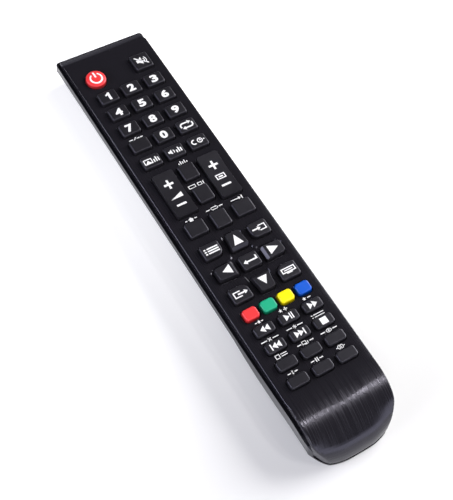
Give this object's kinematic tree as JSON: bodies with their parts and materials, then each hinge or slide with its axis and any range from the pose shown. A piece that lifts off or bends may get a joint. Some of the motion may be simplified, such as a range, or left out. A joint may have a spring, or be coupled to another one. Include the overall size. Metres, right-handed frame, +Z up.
{
  "type": "tv remote control",
  "caption": "Long black infrared remote control with separate travelling keys, two rocker keys, a ring of arrow keys, a nose that curves down and a battery bay with a hinged door in the back.",
  "frame": {"origin": "middle of the base that it lies on, at the base's level", "axes": "+Y towards the infrared end, +X to the right seen from above with the infrared end away, +Z up through the keys"},
  "size_m": [0.0458, 0.226, 0.0202],
  "materials": {
    "black_hairline": "hairline along the length, satin gloss",
    "gloss_black": "gloss",
    "key_black": "fine satin",
    "key_red": "satin",
    "key_green": "satin",
    "key_yellow": "satin",
    "key_blue": "satin",
    "silicone": "matte",
    "board": "solder mask",
    "component": "moulded",
    "clear_epoxy": "clear",
    "filter": "dark red, polished",
    "cell": "printed sleeve",
    "contact": "nickel plated",
    "steel": "zinc plated"
  },
  "bodies": {
    "case": {"upper_shell": "black_hairline", "lower_shell": "gloss_black", "keypad_mat": "silicone", "circuit_board": "board", "board_components": "component", "infrared_led": "clear_epoxy", "infrared_window": "filter", "batteries": "cell", "battery_contacts": "contact", "case_screws": "steel"},
    "battery_door": {"battery_door": "gloss_black"},
    "key_power": {"key_power": "key_red"},
    "key_mute": {"key_mute": "key_black"},
    "key_1": {"key_1": "key_black"},
    "key_2": {"key_2": "key_black"},
    "key_3": {"key_3": "key_black"},
    "key_4": {"key_4": "key_black"},
    "key_5": {"key_5": "key_black"},
    "key_6": {"key_6": "key_black"},
    "key_7": {"key_7": "key_black"},
    "key_8": {"key_8": "key_black"},
    "key_9": {"key_9": "key_black"},
    "key_dash": {"key_dash": "key_black"},
    "key_0": {"key_0": "key_black"},
    "key_swap": {"key_swap": "key_black"},
    "key_picture": {"key_picture": "key_black"},
    "key_sound": {"key_sound": "key_black"},
    "key_sleep": {"key_sleep": "key_black"},
    "key_volume": {"key_volume": "key_black"},
    "key_channel": {"key_channel": "key_black"},
    "key_audio": {"key_audio": "key_black"},
    "key_aspect": {"key_aspect": "key_black"},
    "key_repeat": {"key_repeat": "key_black"},
    "key_root": {"key_root": "key_black"},
    "key_goto": {"key_goto": "key_black"},
    "key_menu": {"key_menu": "key_black"},
    "key_source": {"key_source": "key_black"},
    "key_up": {"key_up": "key_black"},
    "key_left": {"key_left": "key_black"},
    "key_enter": {"key_enter": "key_black"},
    "key_right": {"key_right": "key_black"},
    "key_down": {"key_down": "key_black"},
    "key_exit": {"key_exit": "key_black"},
    "key_display": {"key_display": "key_black"},
    "key_red": {"key_red": "key_red"},
    "key_green": {"key_green": "key_green"},
    "key_yellow": {"key_yellow": "key_yellow"},
    "key_blue": {"key_blue": "key_blue"},
    "key_rewind": {"key_rewind": "key_black"},
    "key_play": {"key_play": "key_black"},
    "key_forward": {"key_forward": "key_black"},
    "key_previous": {"key_previous": "key_black"},
    "key_next": {"key_next": "key_black"},
    "key_stop": {"key_stop": "key_black"},
    "key_text": {"key_text": "key_black"},
    "key_subpage": {"key_subpage": "key_black"},
    "key_reveal": {"key_reveal": "key_black"},
    "key_size": {"key_size": "key_black"},
    "key_hold": {"key_hold": "key_black"},
    "key_mix": {"key_mix": "key_black"}
  },
  "joints": [
    {"name": "key_power_press", "type": "slide", "parent": "case", "child": "key_power", "axis": [0, 0, -1], "range_m": [0, 0.001], "stiffness_N_per_m": 1500},
    {"name": "key_mute_press", "type": "slide", "parent": "case", "child": "key_mute", "axis": [0, 0, -1], "range_m": [0, 0.001], "stiffness_N_per_m": 1500},
    {"name": "key_1_press", "type": "slide", "parent": "case", "child": "key_1", "axis": [0, 0, -1], "range_m": [0, 0.001], "stiffness_N_per_m": 1500},
    {"name": "key_2_press", "type": "slide", "parent": "case", "child": "key_2", "axis": [0, 0, -1], "range_m": [0, 0.001], "stiffness_N_per_m": 1500},
    {"name": "key_3_press", "type": "slide", "parent": "case", "child": "key_3", "axis": [0, 0, -1], "range_m": [0, 0.001], "stiffness_N_per_m": 1500},
    {"name": "key_4_press", "type": "slide", "parent": "case", "child": "key_4", "axis": [0, 0, -1], "range_m": [0, 0.001], "stiffness_N_per_m": 1500},
    {"name": "key_5_press", "type": "slide", "parent": "case", "child": "key_5", "axis": [0, 0, -1], "range_m": [0, 0.001], "stiffness_N_per_m": 1500},
    {"name": "key_6_press", "type": "slide", "parent": "case", "child": "key_6", "axis": [0, 0, -1], "range_m": [0, 0.001], "stiffness_N_per_m": 1500},
    {"name": "key_7_press", "type": "slide", "parent": "case", "child": "key_7", "axis": [0, 0, -1], "range_m": [0, 0.001], "stiffness_N_per_m": 1500},
    {"name": "key_8_press", "type": "slide", "parent": "case", "child": "key_8", "axis": [0, 0, -1], "range_m": [0, 0.001], "stiffness_N_per_m": 1500},
    {"name": "key_9_press", "type": "slide", "parent": "case", "child": "key_9", "axis": [0, 0, -1], "range_m": [0, 0.001], "stiffness_N_per_m": 1500},
    {"name": "key_dash_press", "type": "slide", "parent": "case", "child": "key_dash", "axis": [0, 0, -1], "range_m": [0, 0.001], "stiffness_N_per_m": 1500},
    {"name": "key_0_press", "type": "slide", "parent": "case", "child": "key_0", "axis": [0, 0, -1], "range_m": [0, 0.001], "stiffness_N_per_m": 1500},
    {"name": "key_swap_press", "type": "slide", "parent": "case", "child": "key_swap", "axis": [0, 0, -1], "range_m": [0, 0.001], "stiffness_N_per_m": 1500},
    {"name": "key_picture_press", "type": "slide", "parent": "case", "child": "key_picture", "axis": [0, 0, -1], "range_m": [0, 0.001], "stiffness_N_per_m": 1500},
    {"name": "key_sound_press", "type": "slide", "parent": "case", "child": "key_sound", "axis": [0, 0, -1], "range_m": [0, 0.001], "stiffness_N_per_m": 1500},
    {"name": "key_sleep_press", "type": "slide", "parent": "case", "child": "key_sleep", "axis": [0, 0, -1], "range_m": [0, 0.001], "stiffness_N_per_m": 1500},
    {"name": "key_audio_press", "type": "slide", "parent": "case", "child": "key_audio", "axis": [0, 0, -1], "range_m": [0, 0.001], "stiffness_N_per_m": 1500},
    {"name": "key_aspect_press", "type": "slide", "parent": "case", "child": "key_aspect", "axis": [0, 0, -1], "range_m": [0, 0.001], "stiffness_N_per_m": 1500},
    {"name": "key_repeat_press", "type": "slide", "parent": "case", "child": "key_repeat", "axis": [0, 0, -1], "range_m": [0, 0.001], "stiffness_N_per_m": 1500},
    {"name": "key_root_press", "type": "slide", "parent": "case", "child": "key_root", "axis": [0, 0, -1], "range_m": [0, 0.001], "stiffness_N_per_m": 1500},
    {"name": "key_goto_press", "type": "slide", "parent": "case", "child": "key_goto", "axis": [0, 0, -1], "range_m": [0, 0.001], "stiffness_N_per_m": 1500},
    {"name": "key_menu_press", "type": "slide", "parent": "case", "child": "key_menu", "axis": [0, 0, -1], "range_m": [0, 0.001], "stiffness_N_per_m": 1500},
    {"name": "key_source_press", "type": "slide", "parent": "case", "child": "key_source", "axis": [0, 0, -1], "range_m": [0, 0.001], "stiffness_N_per_m": 1500},
    {"name": "key_up_press", "type": "slide", "parent": "case", "child": "key_up", "axis": [0, 0, -1], "range_m": [0, 0.001], "stiffness_N_per_m": 1500},
    {"name": "key_left_press", "type": "slide", "parent": "case", "child": "key_left", "axis": [0, 0, -1], "range_m": [0, 0.001], "stiffness_N_per_m": 1500},
    {"name": "key_enter_press", "type": "slide", "parent": "case", "child": "key_enter", "axis": [0, 0, -1], "range_m": [0, 0.001], "stiffness_N_per_m": 1500},
    {"name": "key_right_press", "type": "slide", "parent": "case", "child": "key_right", "axis": [0, 0, -1], "range_m": [0, 0.001], "stiffness_N_per_m": 1500},
    {"name": "key_down_press", "type": "slide", "parent": "case", "child": "key_down", "axis": [0, 0, -1], "range_m": [0, 0.001], "stiffness_N_per_m": 1500},
    {"name": "key_exit_press", "type": "slide", "parent": "case", "child": "key_exit", "axis": [0, 0, -1], "range_m": [0, 0.001], "stiffness_N_per_m": 1500},
    {"name": "key_display_press", "type": "slide", "parent": "case", "child": "key_display", "axis": [0, 0, -1], "range_m": [0, 0.001], "stiffness_N_per_m": 1500},
    {"name": "key_red_press", "type": "slide", "parent": "case", "child": "key_red", "axis": [0, 0, -1], "range_m": [0, 0.001], "stiffness_N_per_m": 1500},
    {"name": "key_green_press", "type": "slide", "parent": "case", "child": "key_green", "axis": [0, 0, -1], "range_m": [0, 0.001], "stiffness_N_per_m": 1500},
    {"name": "key_yellow_press", "type": "slide", "parent": "case", "child": "key_yellow", "axis": [0, 0, -1], "range_m": [0, 0.001], "stiffness_N_per_m": 1500},
    {"name": "key_blue_press", "type": "slide", "parent": "case", "child": "key_blue", "axis": [0, 0, -1], "range_m": [0, 0.001], "stiffness_N_per_m": 1500},
    {"name": "key_rewind_press", "type": "slide", "parent": "case", "child": "key_rewind", "axis": [0, 0, -1], "range_m": [0, 0.001], "stiffness_N_per_m": 1500},
    {"name": "key_play_press", "type": "slide", "parent": "case", "child": "key_play", "axis": [0, 0, -1], "range_m": [0, 0.001], "stiffness_N_per_m": 1500},
    {"name": "key_forward_press", "type": "slide", "parent": "case", "child": "key_forward", "axis": [0, 0, -1], "range_m": [0, 0.001], "stiffness_N_per_m": 1500},
    {"name": "key_previous_press", "type": "slide", "parent": "case", "child": "key_previous", "axis": [0, 0, -1], "range_m": [0, 0.001], "stiffness_N_per_m": 1500},
    {"name": "key_next_press", "type": "slide", "parent": "case", "child": "key_next", "axis": [0, 0, -1], "range_m": [0, 0.001], "stiffness_N_per_m": 1500},
    {"name": "key_stop_press", "type": "slide", "parent": "case", "child": "key_stop", "axis": [0, 0, -1], "range_m": [0, 0.001], "stiffness_N_per_m": 1500},
    {"name": "key_text_press", "type": "slide", "parent": "case", "child": "key_text", "axis": [0, 0, -1], "range_m": [0, 0.001], "stiffness_N_per_m": 1500},
    {"name": "key_subpage_press", "type": "slide", "parent": "case", "child": "key_subpage", "axis": [0, 0, -1], "range_m": [0, 0.001], "stiffness_N_per_m": 1500},
    {"name": "key_reveal_press", "type": "slide", "parent": "case", "child": "key_reveal", "axis": [0, 0, -1], "range_m": [0, 0.001], "stiffness_N_per_m": 1500},
    {"name": "key_size_press", "type": "slide", "parent": "case", "child": "key_size", "axis": [0, 0, -1], "range_m": [0, 0.001], "stiffness_N_per_m": 1500},
    {"name": "key_hold_press", "type": "slide", "parent": "case", "child": "key_hold", "axis": [0, 0, -1], "range_m": [0, 0.001], "stiffness_N_per_m": 1500},
    {"name": "key_mix_press", "type": "slide", "parent": "case", "child": "key_mix", "axis": [0, 0, -1], "range_m": [0, 0.001], "stiffness_N_per_m": 1500},
    {"name": "key_volume_rock", "type": "hinge", "parent": "case", "child": "key_volume", "pos_m": [-0.01145, 0.0208, 0.0165], "axis": [1, 0, 0], "range_deg": [-3, 3], "stiffness_Nm_per_rad": 0.29},
    {"name": "key_channel_rock", "type": "hinge", "parent": "case", "child": "key_channel", "pos_m": [0.01145, 0.0208, 0.0165], "axis": [1, 0, 0], "range_deg": [-3, 3], "stiffness_Nm_per_rad": 0.29},
    {"name": "battery_door_swing", "type": "hinge", "parent": "case", "child": "battery_door", "pos_m": [0, -0.092, 0], "axis": [-1, 0, 0], "range_deg": [0, 65]}
  ]
}
